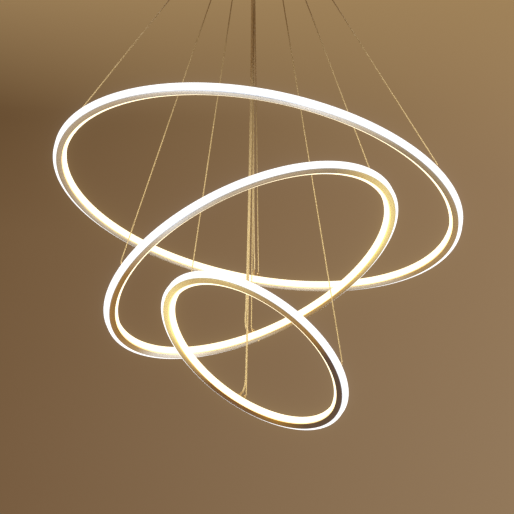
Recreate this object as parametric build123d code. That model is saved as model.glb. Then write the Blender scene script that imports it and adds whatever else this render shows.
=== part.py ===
"""Ceiling chandelier of three light rings, each hung at its own tilt from one round canopy.

Millimetres, +Z up. The origin is the centre of the ceiling plane, and +Y points away from the viewer.
"""

from build123d import *

import os
from math import cos, pi, radians, sin, tan

# Light rings: outer radius over the outer diffuser, place of the centre, and slope of the ring's axis
LARGE_RADIUS = 400.0
MIDDLE_RADIUS = 299.2
SMALL_RADIUS = 199.2
LARGE_CENTRE = (0.0, 3.0)
MIDDLE_CENTRE = (-7.0, -4.0)
SMALL_CENTRE = (-5.8, 3.5)
LARGE_DROP = 625.0  # from the wire exits down to the ring's centre
MIDDLE_DROP = 784.5
SMALL_DROP = 969.5
LARGE_SLOPE = (0.181, -0.086)
MIDDLE_SLOPE = (-0.418, 0.002)
SMALL_SLOPE = (0.603, 0.137)

# Rail: an aluminium H section with a recess on its outer and inner side
RAIL_WIDTH = 10.8
RAIL_HEIGHT = 18.4
RAIL_FLANGE = 3.45
RAIL_WEB = 2.4

# Light-emitting strips on the web, and the opal bars that close the recesses
STRIP_WIDTH = 8.0
STRIP_THICKNESS = 1.2
DIFFUSER_REACH = 7.1  # how far a diffuser stands out of the rail
DIFFUSER_SEAT = 2.0  # how far it sits in the recess
FIT = 0.1  # clearance between seated pieces of one body

# Wires and cords
WIRE_DIAMETER = 2.0
CORD_DIAMETER = 3.0
WIRE_BEARINGS = {"left": 213.7, "right": 333.7, "far": 93.7}  # of the wire exits, in degrees
ANCHOR_BEARINGS = {"left": 210.0, "right": 330.0, "far": 90.0}  # of the anchors on a ring
LARGE_EXIT_RADIUS = 72.0
MIDDLE_EXIT_RADIUS = 54.0
SMALL_EXIT_RADIUS = 36.0
MIDDLE_ANCHOR_TURN = -1.0
SMALL_ANCHOR_TURN = 9.0
ANCHOR_RADIUS = 4.0
ANCHOR_HEIGHT = 12.0
ANCHOR_TIP_RADIUS = 2.2
ANCHOR_TIP = 4.0
GLAND_RADIUS = 4.2
GLAND_HEIGHT = 14.0
GLAND_TIP_RADIUS = 2.4
GLAND_BASE = 5.0
GLAND_OFFSET = 9.5  # from the far anchor, along the ring

# Canopy
CANOPY_DEPTH = 45.0
CANOPY_WALL = 1.5
CANOPY_EDGE = 1.2  # bevel of its lower edge
STRAP_LENGTH = 200.0
STRAP_GAP = 8.5  # between the strap's bent ends and the canopy's wall
CANOPY_RADIUS = STRAP_LENGTH / 2 + STRAP_GAP + CANOPY_WALL
STRAP_WIDTH = 30.0
STRAP_THICKNESS = 2.0
STRAP_TAB = 20.0
SLOT_SPACING = 80.0
SLOT_LENGTH = 20.0
SLOT_WIDTH = 5.0
SIDE_SCREW_DEPTH = 12.0  # of the side screws below the ceiling
SIDE_SCREW_RADIUS = 2.0
SIDE_SCREW_HEAD = 4.5
SIDE_SCREW_HEAD_HEIGHT = 3.0
HOLE_CLEARANCE = 0.2

# Cable grippers and their release sleeves
GRIPPER_RADIUS = 4.75
GRIPPER_LENGTH = 16.0
STUB_RADIUS = 3.0
STUB_LENGTH = 8.0
NUT_RADIUS = 5.5  # over the corners
NUT_HEIGHT = 3.0
SLEEVE_RADIUS = 2.5
SLEEVE_BORE = WIRE_DIAMETER / 2 + 0.25
SLEEVE_OUT = 4.0  # how far a sleeve stands out of its gripper
SLEEVE_IN = 6.0
SLEEVE_TRAVEL = 2.0
RUNNING_CLEARANCE = 0.1

# Cord grips, drivers and terminal block
CORD_GRIP_RADIUS = 5.5
CORD_GRIP_OFFSET = 12.0  # from the far wire's exit, towards -X
CORD_GRIP_BODY = 12.0
CORD_GRIP_TIP_RADIUS = 3.0
DRIVER_LENGTH = 60.0
DRIVER_WIDTH = 34.0
DRIVER_HEIGHT = 20.0
DRIVER_START = 38.0
TERMINAL_SIZE = (30.0, 17.0, 12.0)

# The power cord is pulled straight beside the far wire, apart from one bend below its grip and one above its gland
CORD_DOWN_FROM_GRIP = 26.0
CORD_UP_FROM_GLAND = 24.0

CANOPY_FLOOR = -CANOPY_DEPTH
EXIT_HEIGHT = CANOPY_FLOOR - GRIPPER_LENGTH - SLEEVE_OUT


class Ring:
    """Sizes and place of one light ring. Its own frame has +Z along its axis and +X level with the row's XZ plane."""

    def __init__(self, name, radius, centre, drop, slope, exit_radius, anchor_turn):
        self.name = name
        self.radius = radius
        self.exit_radius = exit_radius
        self.anchor_turn = anchor_turn
        axis = Vector(*slope, 1.0).normalized()
        self.plane = Plane(
            origin=(*centre, EXIT_HEIGHT - drop),
            x_dir=Vector(1, 0, 0) - axis * axis.X,
            z_dir=axis,
        )
        self.rail_outer = radius - DIFFUSER_REACH
        self.rail_inner = self.rail_outer - RAIL_WIDTH
        self.rail_middle = (self.rail_outer + self.rail_inner) / 2

    def seat(self, bearing, along=0.0):
        """Plane on the rail's top face, at that bearing, moved along the rail by a length."""
        turn = radians(bearing + self.anchor_turn) + along / self.rail_middle
        point = Vector(self.rail_middle * cos(turn), self.rail_middle * sin(turn), RAIL_HEIGHT / 2)
        return Plane(origin=self.plane.from_local_coords(point), x_dir=self.plane.x_dir, z_dir=self.plane.z_dir)

    def exit(self, bearing):
        turn = radians(WIRE_BEARINGS[bearing])
        return Vector(self.exit_radius * cos(turn), self.exit_radius * sin(turn), EXIT_HEIGHT)

    def turned(self, points):
        """Ring of the given (radius, height) outline."""
        outline = make_face(Plane.XZ * Polyline(*points, close=True))
        return self.plane.location * revolve(outline, Axis.Z, 360)


RINGS = (
    Ring("large", LARGE_RADIUS, LARGE_CENTRE, LARGE_DROP, LARGE_SLOPE, LARGE_EXIT_RADIUS, 0.0),
    Ring("middle", MIDDLE_RADIUS, MIDDLE_CENTRE, MIDDLE_DROP, MIDDLE_SLOPE, MIDDLE_EXIT_RADIUS, MIDDLE_ANCHOR_TURN),
    Ring("small", SMALL_RADIUS, SMALL_CENTRE, SMALL_DROP, SMALL_SLOPE, SMALL_EXIT_RADIUS, SMALL_ANCHOR_TURN),
)


def write(name, *solids):
    export_step(Compound(children=list(solids), label=name), f"parts/{name}.step")


def turned_pin(*points):
    """Solid of revolution about Z from a (radius, height) outline."""
    return revolve(make_face(Plane.XZ * Polyline(*points, close=True)), Axis.Z, 360)


def rail(ring):
    """H section, bent into a ring: two flanges, one web, a recess on each side."""
    outer, inner = ring.rail_outer, ring.rail_inner
    web_outer = ring.rail_middle + RAIL_WEB / 2
    web_inner = ring.rail_middle - RAIL_WEB / 2
    top = RAIL_HEIGHT / 2
    lip = top - RAIL_FLANGE
    return ring.turned(
        [
            (inner, top), (outer, top), (outer, lip), (web_outer, lip), (web_outer, -lip), (outer, -lip),
            (outer, -top), (inner, -top), (inner, -lip), (web_inner, -lip), (web_inner, lip), (inner, lip),
        ]
    )  # fmt: skip


def strip(ring, side):
    """Ribbon on the web's outer (side 1) or inner (side -1) face."""
    back = ring.rail_middle + side * RAIL_WEB / 2 + side * FIT
    front = back + side * STRIP_THICKNESS
    half = STRIP_WIDTH / 2
    return ring.turned([(back, -half), (front, -half), (front, half), (back, half)])


def diffuser(ring, side):
    """Opal bar between the flanges."""
    mouth = ring.rail_outer if side > 0 else ring.rail_inner
    back = mouth - side * DIFFUSER_SEAT
    face = mouth + side * DIFFUSER_REACH
    half = RAIL_HEIGHT / 2 - RAIL_FLANGE - FIT
    return ring.turned([(back, -half), (face, -half), (face, half), (back, half)])


def anchor(seat):
    """Turned knob on the rail, which takes the crimped end of a wire."""
    knob = turned_pin(
        (0, 0), (ANCHOR_RADIUS, 0), (ANCHOR_RADIUS, ANCHOR_HEIGHT - ANCHOR_TIP),
        (ANCHOR_TIP_RADIUS, ANCHOR_HEIGHT - ANCHOR_TIP), (ANCHOR_TIP_RADIUS, ANCHOR_HEIGHT), (0, ANCHOR_HEIGHT),
    )  # fmt: skip
    return seat.location * knob


def gland(seat):
    """Stepped strain relief where the power cord enters the rail."""
    post = turned_pin(
        (0, 0), (GLAND_RADIUS, 0), (GLAND_RADIUS, GLAND_BASE), (GLAND_TIP_RADIUS, GLAND_BASE),
        (GLAND_TIP_RADIUS, GLAND_HEIGHT), (0, GLAND_HEIGHT),
    )  # fmt: skip
    return seat.location * post


def wire(ring, bearing):
    """Straight steel wire from its anchor's tip to its exit plane."""
    low = ring.seat(ANCHOR_BEARINGS[bearing]).offset(ANCHOR_HEIGHT)
    high = ring.exit(bearing)
    run = high - low.origin
    spare = WIRE_DIAMETER * 3
    start = low.origin - run.normalized() * spare
    whole = Solid.make_cylinder(WIRE_DIAMETER / 2, run.length + 2 * spare, Plane(origin=start, z_dir=run))
    under = split(whole, Plane.XY.offset(EXIT_HEIGHT), keep=Keep.BOTTOM)
    return split(under, low, keep=Keep.TOP)


def cord_route(ring):
    """Points of the power cord from its grip under the canopy, down beside the far wire, into its gland."""
    grip = ring.exit("far") - Vector(CORD_GRIP_OFFSET, 0, 0)
    entry = ring.seat(ANCHOR_BEARINGS["far"], GLAND_OFFSET).offset(GLAND_HEIGHT)
    return [
        grip,
        grip - Vector(0, 0, CORD_DOWN_FROM_GRIP),
        entry.offset(CORD_UP_FROM_GLAND).origin,
        entry.origin,
    ]


def cord_radii(points):
    """Largest arcs that the runs allow."""
    radii = []
    for before, corner, after in zip(points, points[1:], points[2:]):
        first, second = corner - before, after - corner
        half_turn = radians(first.get_angle(second)) / 2
        radii.append(0.45 * min(first.length, second.length) / tan(half_turn))
    return radii


def cord(ring):
    points = cord_route(ring)
    radii = cord_radii(points)
    path = FilletPolyline(*points, radius=radii)
    section = Plane(origin=points[0], z_dir=points[1] - points[0]) * Circle(CORD_DIAMETER / 2)
    tube = sweep(section, path=path)
    area = pi * CORD_DIAMETER**2 / 4
    print(ring.name, "cord", round(path.length, 1), "mm, radii", [round(r) for r in radii],
          "volume share", round(tube.volume / (area * path.length), 4))  # fmt: skip
    return tube


def canopy():
    """Round pan with its open side to the ceiling, drilled for grippers, cord grips and side screws."""
    inner, floor = CANOPY_RADIUS - CANOPY_WALL, CANOPY_FLOOR + CANOPY_WALL
    pan = turned_pin(
        (0, CANOPY_FLOOR), (CANOPY_RADIUS - CANOPY_EDGE, CANOPY_FLOOR), (CANOPY_RADIUS, CANOPY_FLOOR + CANOPY_EDGE),
        (CANOPY_RADIUS, 0), (inner, 0), (inner, floor), (0, floor),
    )  # fmt: skip
    holes = [Pos(*point) * Cylinder(STUB_RADIUS + HOLE_CLEARANCE / 2, 4 * CANOPY_WALL) for point in stub_places()]
    side = Pos(0, 0, -SIDE_SCREW_DEPTH) * Rot(0, 90, 0) * Cylinder(
        SIDE_SCREW_RADIUS + HOLE_CLEARANCE / 2, 2 * CANOPY_RADIUS + 2
    )
    return pan - holes - side


def gripper_places():
    """Name and centre of each cable gripper, in the plane of the canopy's underside."""
    return [
        (f"{ring.name}_{bearing}", Vector(ring.exit(bearing).X, ring.exit(bearing).Y, CANOPY_FLOOR))
        for ring in RINGS
        for bearing in WIRE_BEARINGS
    ]


def cord_grip_places():
    return [
        Vector(ring.exit("far").X - CORD_GRIP_OFFSET, ring.exit("far").Y, CANOPY_FLOOR) for ring in RINGS
    ]


def stub_places():
    return [place for _, place in gripper_places()] + cord_grip_places()


def gripper(place):
    """Threaded body with a blind bore from below for its release sleeve."""
    bore = SLEEVE_RADIUS + RUNNING_CLEARANCE
    depth = SLEEVE_IN + SLEEVE_TRAVEL + 1
    return Pos(*place) * turned_pin(
        (0, STUB_LENGTH), (STUB_RADIUS, STUB_LENGTH), (STUB_RADIUS, 0), (GRIPPER_RADIUS, 0),
        (GRIPPER_RADIUS, -GRIPPER_LENGTH), (bore, -GRIPPER_LENGTH), (bore, depth - GRIPPER_LENGTH),
        (0, depth - GRIPPER_LENGTH),
    )  # fmt: skip


def nut(place):
    """Hexagon nut that clamps a stub from inside the canopy."""
    ring = RegularPolygon(NUT_RADIUS, 6) - Circle(STUB_RADIUS + HOLE_CLEARANCE / 2)
    return Pos(place.X, place.Y, CANOPY_FLOOR + CANOPY_WALL) * extrude(ring, NUT_HEIGHT)


def sleeve(place):
    """Release sleeve: pushed up, it frees the wire that runs through it."""
    low, high = -GRIPPER_LENGTH - SLEEVE_OUT, SLEEVE_IN - GRIPPER_LENGTH
    return Pos(*place) * turned_pin(
        (SLEEVE_BORE, low), (SLEEVE_RADIUS, low), (SLEEVE_RADIUS, high), (SLEEVE_BORE, high)
    )


def cord_grip(place):
    """Screwed grip that holds a power cord's sheath under the canopy."""
    low = EXIT_HEIGHT - CANOPY_FLOOR
    return Pos(*place) * turned_pin(
        (0, STUB_LENGTH), (STUB_RADIUS, STUB_LENGTH), (STUB_RADIUS, 0), (CORD_GRIP_RADIUS, 0),
        (CORD_GRIP_RADIUS, -CORD_GRIP_BODY), (CORD_GRIP_TIP_RADIUS, -CORD_GRIP_BODY), (CORD_GRIP_TIP_RADIUS, low),
        (0, low),
    )  # fmt: skip


def strap():
    """Flat bar on the ceiling with two slots, its ends bent down for the side screws."""
    bar = Pos(0, 0, -STRAP_THICKNESS / 2) * Box(STRAP_LENGTH, STRAP_WIDTH, STRAP_THICKNESS)
    tab = Box(STRAP_THICKNESS, STRAP_WIDTH, STRAP_TAB)
    reach = (STRAP_LENGTH - STRAP_THICKNESS) / 2
    bar += Pos(reach, 0, -STRAP_TAB / 2) * tab
    bar += Pos(-reach, 0, -STRAP_TAB / 2) * tab
    slot = extrude(SlotOverall(SLOT_LENGTH, SLOT_WIDTH), STRAP_THICKNESS, both=True)
    bar -= Pos(SLOT_SPACING / 2, 0, 0) * slot
    bar -= Pos(-SLOT_SPACING / 2, 0, 0) * slot
    tapped = Rot(0, 90, 0) * Cylinder(SIDE_SCREW_RADIUS + RUNNING_CLEARANCE, STRAP_LENGTH + 2)
    return bar - Pos(0, 0, -SIDE_SCREW_DEPTH) * tapped


def side_screw(side):
    """Knurled screw through the canopy's wall into the strap's tab."""
    reach = CANOPY_RADIUS + FIT
    inner = STRAP_LENGTH / 2 - STRAP_THICKNESS - 2
    pin = turned_pin(
        (0, inner), (SIDE_SCREW_RADIUS, inner), (SIDE_SCREW_RADIUS, reach), (SIDE_SCREW_HEAD, reach),
        (SIDE_SCREW_HEAD, reach + SIDE_SCREW_HEAD_HEIGHT), (0, reach + SIDE_SCREW_HEAD_HEIGHT),
    )  # fmt: skip
    return Pos(0, 0, -SIDE_SCREW_DEPTH) * Rot(0, side * 90, 0) * pin


def driver(bearing):
    """Plastic box that feeds one ring, on the canopy's floor between two rows of grippers."""
    low = CANOPY_FLOOR + CANOPY_WALL
    box = Pos(DRIVER_START + DRIVER_LENGTH / 2, 0, low + DRIVER_HEIGHT / 2) * Box(
        DRIVER_LENGTH, DRIVER_WIDTH, DRIVER_HEIGHT
    )
    return Rot(0, 0, bearing) * box


def terminal_block():
    """Mains terminal block under the strap."""
    return Pos(0, 0, -STRAP_THICKNESS - TERMINAL_SIZE[2] / 2) * Box(*TERMINAL_SIZE)


def main():
    os.makedirs("parts", exist_ok=True)
    for ring in RINGS:
        name = ring.name
        write(f"{name}_rail", rail(ring))
        write(f"{name}_outer_led_strip", strip(ring, 1))
        write(f"{name}_inner_led_strip", strip(ring, -1))
        write(f"{name}_outer_diffuser", diffuser(ring, 1))
        write(f"{name}_inner_diffuser", diffuser(ring, -1))
        write(f"{name}_wire_anchors", *[anchor(ring.seat(b)) for b in ANCHOR_BEARINGS.values()])
        write(f"{name}_cord_gland", gland(ring.seat(ANCHOR_BEARINGS["far"], GLAND_OFFSET)))
        for bearing in WIRE_BEARINGS:
            write(f"{name}_wire_{bearing}", wire(ring, bearing))
        write(f"{name}_power_cord", cord(ring))
    write("canopy", canopy())
    write("ceiling_strap", strap())
    write("side_screws", side_screw(1), side_screw(-1))
    write("grippers", *[gripper(place) for _, place in gripper_places()])
    for name, place in gripper_places():
        write(f"release_sleeve_{name}", sleeve(place))
    write("cord_grips", *[cord_grip(place) for place in cord_grip_places()])
    write("gripper_nuts", *[nut(place) for _, place in gripper_places()])
    write("cord_grip_nuts", *[nut(place) for place in cord_grip_places()])
    free_bearing = (WIRE_BEARINGS["left"] + WIRE_BEARINGS["right"]) / 2
    for ring, turn in zip(RINGS, (0, 120, 240)):
        write(f"{ring.name}_driver", driver(free_bearing + turn))
    write("terminal_block", terminal_block())


main()
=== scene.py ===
"""Looks of a ceiling chandelier of three light rings on thin wires.

Metres, +Z up. The origin is the centre of the ceiling plane, and +Y points away from the viewer.
"""

from math import atan2, cos, hypot, pi, radians, sin, tan, tau

import bmesh
import bpy
from mathutils import Matrix, Vector


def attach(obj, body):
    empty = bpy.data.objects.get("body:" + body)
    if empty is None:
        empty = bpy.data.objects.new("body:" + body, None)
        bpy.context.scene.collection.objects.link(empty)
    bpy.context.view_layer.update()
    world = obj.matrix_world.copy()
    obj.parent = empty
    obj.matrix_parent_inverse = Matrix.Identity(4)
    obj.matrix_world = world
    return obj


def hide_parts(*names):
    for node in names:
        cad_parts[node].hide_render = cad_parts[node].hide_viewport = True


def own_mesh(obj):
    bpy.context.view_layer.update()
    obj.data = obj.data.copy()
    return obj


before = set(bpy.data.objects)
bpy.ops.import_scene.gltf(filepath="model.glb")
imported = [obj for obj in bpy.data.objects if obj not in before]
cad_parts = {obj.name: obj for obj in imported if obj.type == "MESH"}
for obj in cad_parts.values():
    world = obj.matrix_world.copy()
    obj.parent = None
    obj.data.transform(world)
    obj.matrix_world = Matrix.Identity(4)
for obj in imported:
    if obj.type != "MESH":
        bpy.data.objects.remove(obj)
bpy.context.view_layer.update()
scene = bpy.context.scene

MM = 0.001

# Camera, at the photograph's viewing angle
CAMERA_PLACE = (0.0008, -3.6074, -2.9904)
CAMERA_PITCH = radians(30.9)
CAMERA_LENS = 155.3  # mm
CAMERA_SENSOR = 36  # mm
CAMERA_REACH = 60

# Studio
FLOOR_HEIGHT = -8.0
FLOOR_RADIUS = 24.0
LIGHT_AIM = (0, 0, -0.7)
WASH_POWER = 1.5
WASH_SPREAD = radians(40)
WASH_COLOUR = (1.0, 0.985, 0.96)
SOFT_LIGHTS = (  # name, place, size, power, colour
    ("under_light", (0, 0, -3.2), 18.0, 690, (1.0, 0.93, 0.82)),
    ("key_light", (-2.2, -2.6, 0.6), 2.0, 34, (1.0, 0.93, 0.82)),
    ("fill_light", (2.6, -1.2, -1.6), 2.4, 14, (1.0, 0.95, 0.88)),
    ("back_light", (0.4, 2.8, 0.9), 2.0, 20, (1.0, 0.94, 0.86)),
)
SURROUND_DRIFT = 0.12  # how far to each side the surround's left tone turns into its right one
BLOOM = {"Threshold": 0.8, "Strength": 0.2, "Saturation": 1.5, "Size": 0.12}

# Light rings: outer radius over the outer opal bar, centre in plan and below the wire exits,
# slope of the axis, radius of the circle of wire exits, and turn of the anchors
EXIT_HEIGHT = -65 * MM
LARGE = dict(radius=400 * MM, centre=(0, 3 * MM), drop=625 * MM, slope=(0.181, -0.086),
             exit_radius=72 * MM, anchor_turn=0.0)
MIDDLE = dict(radius=299.2 * MM, centre=(-7 * MM, -4 * MM), drop=784.5 * MM, slope=(-0.418, 0.002),
              exit_radius=54 * MM, anchor_turn=radians(-1))
SMALL = dict(radius=199.2 * MM, centre=(-5.8 * MM, 3.5 * MM), drop=969.5 * MM, slope=(0.603, 0.137),
             exit_radius=36 * MM, anchor_turn=radians(9))
WIRE_BEARINGS = {"left": radians(213.7), "right": radians(333.7), "far": radians(93.7)}
ANCHOR_BEARINGS = {"left": radians(210), "right": radians(330), "far": radians(90)}

# Rail, strips and opal bars
RAIL_WIDTH = 10.8 * MM
RAIL_HEIGHT = 18.4 * MM
RAIL_FLANGE = 3.45 * MM
RAIL_WEB = 2.4 * MM
RAIL_EDGE = 0.35 * MM
RAIL_FILLET = 0.3 * MM
RAIL_CROWN = 0.3 * MM  # rise of the flange's middle over its edges
STRIP_WIDTH = 8 * MM
RIBBON_THICKNESS = 0.4 * MM
BAR_REACH = 7.1 * MM
BAR_INSET = 0.15 * MM  # keeps the opal bars' faces inside the solids' box
BAR_SEAT = 2 * MM
BAR_ROUND = 0.9 * MM
BAR_BACK_ROUND = 0.2 * MM
BAR_GLOW = 3 * MM  # depth over which a bar's light comes to its full tone
FIT = 0.1 * MM
CHIP_PITCH = 8.3 * MM
CHIP_SIZE = (0.8 * MM, 2.8 * MM, 3.5 * MM)
PAD_PITCH = 50 * MM
PAD_ROW = 4 * MM
SEAM_TURN = radians(88.4)  # where the middle ring's seam screw shows
SEAM_OUT = 2.6 * MM  # from the rail's middle line
RING_STEPS = 288

# Wires, cords and their fittings
WIRE_DIAMETER = 2 * MM
WIRE_LAY = 9 * MM
WIRE_STRANDS = 6
WIRE_SPANS = 8
# Heights of the painted light from the rings on wires and cords: none above the first, full below the second
WIRE_UNLIT_ABOVE = -0.3
WIRE_RING_LIT_BELOW = -0.66
CORD_DIAMETER = 3 * MM
CORD_LAY = 14 * MM
CORD_CORES = 2
TUBE_NAMES = {"wire_steel": "strand", "cord_sheath": "sheath"}
LINE_STEPS = 12  # in each span of a cord's spline
ANCHOR_HEIGHT = 12 * MM
GLAND_HEIGHT = 14 * MM
GLAND_OFFSET = 9.5 * MM
CORD_GRIP_OFFSET = 12 * MM
CORD_DOWN_FROM_GRIP = 26 * MM
CORD_JOINS_WIRE = 84 * MM  # below the wire's exit
CORD_LEAVES_WIRE = 64 * MM  # above the wire's anchor
CORD_UP_FROM_GLAND = 10 * MM
CORD_ASIDE = {  # from the wire, at the top and at the bottom
    "large": ((-3.2 * MM, 1.5 * MM), (-9.2 * MM, 1.5 * MM)),
    "middle": ((-3.6 * MM, 1.7 * MM), (-9.6 * MM, 1.7 * MM)),
    "small": ((-0.6 * MM, 2.9 * MM), (-0.6 * MM, 2.9 * MM)),
}

# Canopy, with its strap, screws, grippers, drivers and terminal block
CANOPY_FLOOR = -45 * MM
CANOPY_WALL = 1.5 * MM
CANOPY_RADIUS = 110 * MM
STRAP_LENGTH = 200 * MM
STRAP_WIDTH = 30 * MM
STRAP_THICKNESS = 2 * MM
STRAP_TAB = 20 * MM
STRAP_BEND = 0.6 * MM  # inner radius
SLOT_SPACING = 80 * MM
SLOT_LENGTH = 20 * MM
SLOT_WIDTH = 5 * MM
SIDE_SCREW_DEPTH = 12 * MM
SIDE_SCREW_RADIUS = 2 * MM
DRILL_CLEARANCE = 0.1 * MM
STUB_RADIUS = 3 * MM
STUB_LENGTH = 8 * MM
THREAD_TOOTH = 0.22 * MM
THREAD_STEPS = 20  # in each turn
DRIVER_SIZE = (60 * MM, 34 * MM, 20 * MM)
DRIVER_START = 38 * MM
DRIVER_TURNS = {"large": 0.0, "middle": radians(120), "small": radians(240)}
TERMINAL_SIZE = (30 * MM, 17 * MM, 12 * MM)


# ------------------------ camera, light and backdrop


def linked(name, data):
    """A new object of that data, in the scene."""
    thing = bpy.data.objects.new(name, data)
    scene.collection.objects.link(thing)
    return thing


def make_camera():
    data = bpy.data.cameras.new("photo_camera")
    data.lens = CAMERA_LENS
    data.sensor_width = CAMERA_SENSOR
    data.clip_end = CAMERA_REACH
    camera = linked("photo_camera", data)
    camera.location = CAMERA_PLACE
    camera.rotation_euler = (pi / 2 + CAMERA_PITCH, 0, 0)
    scene.camera = camera


def new_light(name, kind, power, colour):
    data = bpy.data.lights.new(name, kind)
    data.energy = power
    data.color = colour
    return linked(name, data)


def make_studio():
    """Plain pale floor, even light from overhead, a wide soft light from below and three round the lamp."""
    new_light("overhead_wash", "SUN", WASH_POWER, WASH_COLOUR).data.angle = WASH_SPREAD
    for name, place, size, power, colour in SOFT_LIGHTS:
        light = new_light(name, "AREA", power, colour)
        light.data.size = size
        light.location = place
        light.rotation_mode = "QUATERNION"
        light.rotation_quaternion = (Vector(LIGHT_AIM) - Vector(place)).to_track_quat("-Z", "Y")
        light.visible_camera = False

    shape = bmesh.new()
    bmesh.ops.create_circle(shape, cap_ends=True, segments=96, radius=FLOOR_RADIUS)
    bmesh.ops.translate(shape, vec=(0, 0, FLOOR_HEIGHT), verts=shape.verts)
    floor = linked("studio_floor", mesh_of(shape, "studio_floor"))
    floor.data.materials.append(floor_paint())


# ------------------------ shader maths


def operator(operation, swapped=False):
    """One of Python's operators, as a Math node that it adds."""
    def act(self, other):
        return self.math(operation, *((other, self) if swapped else (self, other)))
    return act


class Value:
    """A node's number output, on which Python's operators add Math nodes."""

    __add__, __radd__ = operator("ADD"), operator("ADD", swapped=True)
    __sub__, __rsub__ = operator("SUBTRACT"), operator("SUBTRACT", swapped=True)
    __mul__, __rmul__ = operator("MULTIPLY"), operator("MULTIPLY", swapped=True)
    __truediv__ = operator("DIVIDE")

    def __init__(self, shading, socket):
        self.shading = shading
        self.socket = socket

    def math(self, operation, *values):
        return self.shading.node("ShaderNodeMath", {"operation": operation}, *values).value

    def sine(self):
        return self.math("SINE", self)

    def fraction(self):
        return self.math("FRACT", self)

    def over(self, edge):
        """1 where the value is above the edge, otherwise 0."""
        return self.math("GREATER_THAN", self, edge)

    def limit(self):
        """The value held between 0 and 1."""
        return self.math("MINIMUM", self.math("MAXIMUM", self, 0.0), 1.0)


class Made:
    """A node that was just made. Its outputs are read by name."""

    def __init__(self, shading, node):
        self.shading = shading
        self.outputs = node.outputs

    def __getitem__(self, name):
        return Value(self.shading, self.outputs[name])

    @property
    def value(self):
        return Value(self.shading, next(socket for socket in self.outputs if socket.enabled))


def set_stops(ramp, stops):
    while len(ramp.elements) > 1:
        ramp.elements.remove(ramp.elements[-1])
    for index, (place, colour) in enumerate(stops):
        element = ramp.elements[0] if index == 0 else ramp.elements.new(place)
        element.position = place
        element.color = colour


def new_node(tree, kind, settings, values, named):
    """Adds a node: its settings first, then the values or links of its sockets, by place or by name."""
    made = tree.nodes.new(kind)
    for label, setting in (settings or {}).items():
        if label == "stops":
            set_stops(made.color_ramp, setting)
        else:
            setattr(made, label, setting)
    live = [socket for socket in made.inputs if socket.enabled]
    pairs = list(zip(live, values))
    pairs += [(made.inputs[label.replace("_", " ")], value) for label, value in named.items()]
    for socket, value in pairs:
        for source in value if isinstance(value, list) else [value]:
            source = source.socket if isinstance(source, Value) else source
            if isinstance(source, bpy.types.NodeSocket):
                tree.links.new(source, socket)
            else:
                socket.default_value = source
    return made


class Shading:
    """A shader tree, which grows node by node."""

    def __init__(self, tree):
        self.tree = tree

    def node(self, kind, settings=None, *values, **named):
        return Made(self, new_node(self.tree, kind, settings, values, named))

    def blend(self, factor, first, second):
        return self.node("ShaderNodeMix", {"data_type": "RGBA"}, factor, first, second).value


class Finish(Shading):
    """One material, built up on its Principled shader."""

    def __init__(self, name, **numbers):
        self.material = bpy.data.materials.new(name)
        self.material.use_nodes = True
        super().__init__(self.material.node_tree)
        self.shader = self.tree.nodes["Principled BSDF"]
        for label, number in numbers.items():
            self.shader.inputs[label.replace("_", " ").title()].default_value = number

    def feed(self, **inputs):
        """Links values to the shader's sockets."""
        for label, value in inputs.items():
            self.tree.links.new(value.socket, self.shader.inputs[label.replace("_", " ")])
        return self

    def place(self):
        return self.node("ShaderNodeTexCoord")["Object"]

    def surface(self):
        """The piece's own UV map: length along it, then length or share of a turn across it."""
        split = self.node("ShaderNodeSeparateXYZ", None, self.node("ShaderNodeTexCoord")["UV"])
        return split["X"], split["Y"]

    def noise(self, where, scale, detail=4.0):
        return self.node("ShaderNodeTexNoise", None, Vector=where, Scale=scale, Detail=detail).value

    def vector(self, x, y, z):
        return self.node("ShaderNodeCombineXYZ", None, x, y, z).value

    def bump(self, height, strength, distance):
        made = self.node("ShaderNodeBump", None, Height=height, Strength=strength, Distance=distance)
        return self.feed(Normal=made.value)


def linear(*screen):
    """Red, green and blue of a screen, from 0 to 255, as the linear colour of a socket."""
    shares = [level / 255 for level in screen]
    return (*(s / 12.92 if s < 0.0404 else ((s + 0.055) / 1.055) ** 2.4 for s in shares), 1.0)


# ------------------------ finishes

# Rail tones: SILVER is the bare metal's own colour; the rest are painted reflections and painted shade round
# the rails
SILVER = linear(222, 220, 218)
SHINE = linear(236, 240, 246)
COOL = linear(210, 214, 220)
PALE = linear(206, 202, 194)
STONE = linear(187, 182, 172)
BEIGE = linear(173, 162, 144)
SHADE = linear(142, 129, 106)
SAND = linear(158, 134, 90)
PALE_GOLD = linear(232, 222, 160)
GOLD = linear(196, 178, 124)
OLD_GOLD = linear(136, 100, 24)
UMBER = linear(100, 64, 16)
BRONZE = linear(62, 34, 5)

SURROUNDS = (  # tones by height, on the left and on the right
    [(0.44, linear(119, 92, 64)), (0.52, linear(116, 89, 60)), (0.565, linear(103, 77, 49)),
     (0.615, linear(158, 129, 89))],
    [(0.44, linear(147, 121, 91)), (0.54, linear(148, 120, 88)), (0.615, linear(162, 132, 90))],
)


def floor_paint():
    """Pale matt floor with a faint mottle."""
    finish = Finish("studio_floor_paint", roughness=0.8)
    mottle = finish.noise(finish.place(), scale=1.5)
    finish.feed(Base_Color=finish.blend(mottle, linear(222, 214, 202), linear(228, 221, 211)))
    return finish.material


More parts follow.
